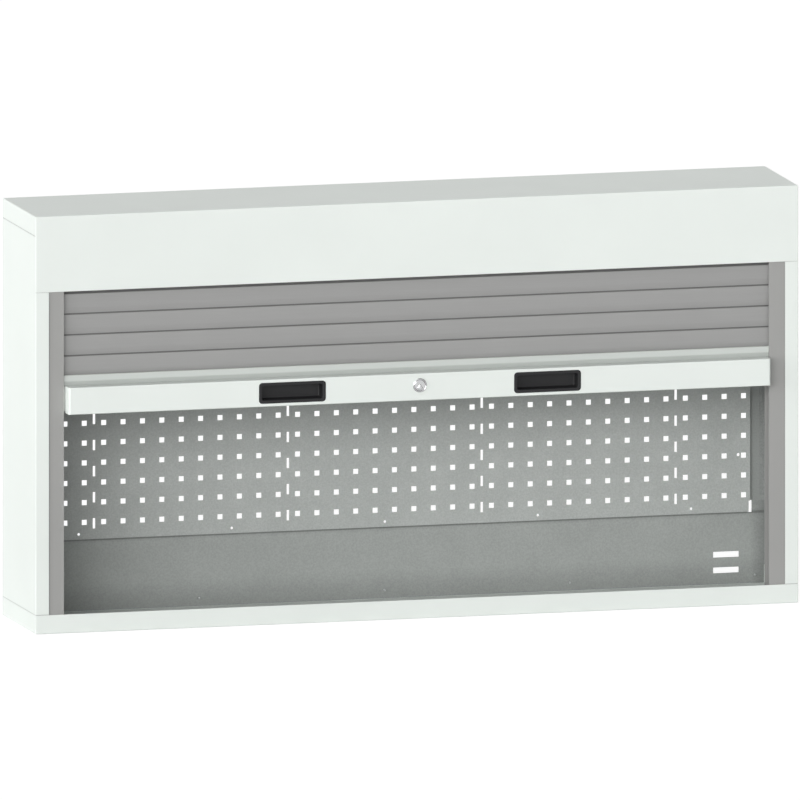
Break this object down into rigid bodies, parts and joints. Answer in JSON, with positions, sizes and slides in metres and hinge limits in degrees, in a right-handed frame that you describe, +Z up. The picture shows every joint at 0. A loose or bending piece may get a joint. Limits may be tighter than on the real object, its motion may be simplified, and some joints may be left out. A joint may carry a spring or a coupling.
{
  "type": "roll front tool cabinet",
  "caption": "Wide, shallow wall or bench cabinet with a slatted roll-up front that has a handle bar, recessed grips and a lock, and a perforated tool plate at the back.",
  "frame": {"origin": "middle of the outline at floor level, with the shutter half open", "axes": "+X to the right seen from the front, +Y from the front to the back, +Z up"},
  "size_m": [1.495, 0.2664, 0.8],
  "materials": {
    "case_paint": "fine satin powder coat, off-white",
    "back_paint": "fine matt powder coat, grey",
    "guide_paint": "fine matt powder coat, warm grey",
    "slat": "matt grey coated roll-formed slats",
    "zinc_steel": "zinc-plated steel",
    "chrome": "polished chrome plate",
    "black_plastic": "fine-grained black moulded plastic",
    "nylon": "natural nylon",
    "rubber": "black rubber"
  },
  "bodies": {
    "cabinet": {"top_cover": "case_paint", "fascia": "case_paint", "cover_rear_lip": "case_paint", "cover_end_lips": "case_paint", "base_tray": "case_paint", "side_panel_left": "case_paint", "side_panel_right": "case_paint", "rear_panel_lower": "back_paint", "perforated_panel": "back_paint", "hook_strip_left": "back_paint", "hook_strip_right": "back_paint", "guide_rail_left": "guide_paint", "guide_rail_right": "guide_paint", "guide_faces": "guide_paint", "guide_studs": "zinc_steel", "top_stops": "rubber", "rear_screws": "zinc_steel", "lock_keeper_left": "zinc_steel", "lock_keeper_right": "zinc_steel", "barrel_bracket_left": "zinc_steel", "barrel_bracket_right": "zinc_steel", "bracket_nuts": "zinc_steel", "barrel_shaft": "zinc_steel", "spring_anchors": "zinc_steel", "torsion_spring_left": "zinc_steel", "torsion_spring_right": "zinc_steel"},
    "barrel": {"barrel_tube": "zinc_steel", "barrel_plug_left": "black_plastic", "barrel_plug_right": "black_plastic", "wound_slats": "slat"},
    "shutter": {"handle_bar": "case_paint", "bar_cap_left": "case_paint", "bar_cap_right": "case_paint", "bar_seal": "rubber", "bar_screws": "zinc_steel", "bottom_rail": "case_paint", "rail_plug_left": "nylon", "rail_plug_right": "nylon", "grip_left": "black_plastic", "grip_right": "black_plastic", "front_slat_1": "slat", "front_slat_2": "slat", "front_slat_3": "slat", "front_slat_4": "slat", "lock_housing": "chrome", "lock_nut": "zinc_steel"},
    "middle_slats": {"middle_slat_1": "slat", "middle_slat_2": "slat", "middle_slat_3": "slat", "middle_slat_4": "slat", "middle_slat_5": "slat"},
    "upper_slats": {"upper_slat_1": "slat", "upper_slat_2": "slat", "upper_slat_3": "slat", "upper_slat_4": "slat", "upper_slat_5": "slat"},
    "lock_core": {"lock_plug": "chrome", "lock_pinion": "zinc_steel"},
    "left_bolt": {"lock_bar_left": "zinc_steel"},
    "right_bolt": {"lock_bar_right": "zinc_steel"}
  },
  "joints": [
    {"name": "shutter_slide", "type": "slide", "parent": "cabinet", "child": "shutter", "axis": [0, 0, 1], "range_m": [-0.3825, 0.1414]},
    {"name": "middle_slide", "type": "slide", "parent": "cabinet", "child": "middle_slats", "axis": [0, 0, 1], "range_m": [-0.2395, 0.0886]},
    {"name": "upper_slide", "type": "slide", "parent": "cabinet", "child": "upper_slats", "axis": [0, 0, 1], "range_m": [-0.0964, 0.0357]},
    {"name": "barrel_turn", "type": "hinge", "parent": "cabinet", "child": "barrel", "pos_m": [0, -0.00975, 0.74], "axis": [-1, 0, 0], "range_deg": [-660, 245]},
    {"name": "lock_turn", "type": "hinge", "parent": "shutter", "child": "lock_core", "pos_m": [0, -0.13125, 0.4505], "axis": [0, 1, 0], "range_deg": [0, 90]},
    {"name": "left_bolt_slide", "type": "slide", "parent": "shutter", "child": "left_bolt", "axis": [-1, 0, 0], "range_m": [0, 0.01413]},
    {"name": "right_bolt_slide", "type": "slide", "parent": "shutter", "child": "right_bolt", "axis": [1, 0, 0], "range_m": [0, 0.0142]}
  ],
  "couplings": [
    {"joint": "middle_slide", "follows": "shutter_slide", "ratio": 0.62588},
    {"joint": "upper_slide", "follows": "shutter_slide", "ratio": 0.25177},
    {"joint": "barrel_turn", "follows": "shutter_slide", "rad_per_m": 30},
    {"joint": "lock_turn", "follows": "left_bolt_slide", "rad_per_m": 111.11},
    {"joint": "right_bolt_slide", "follows": "left_bolt_slide", "ratio": 1}
  ]
}
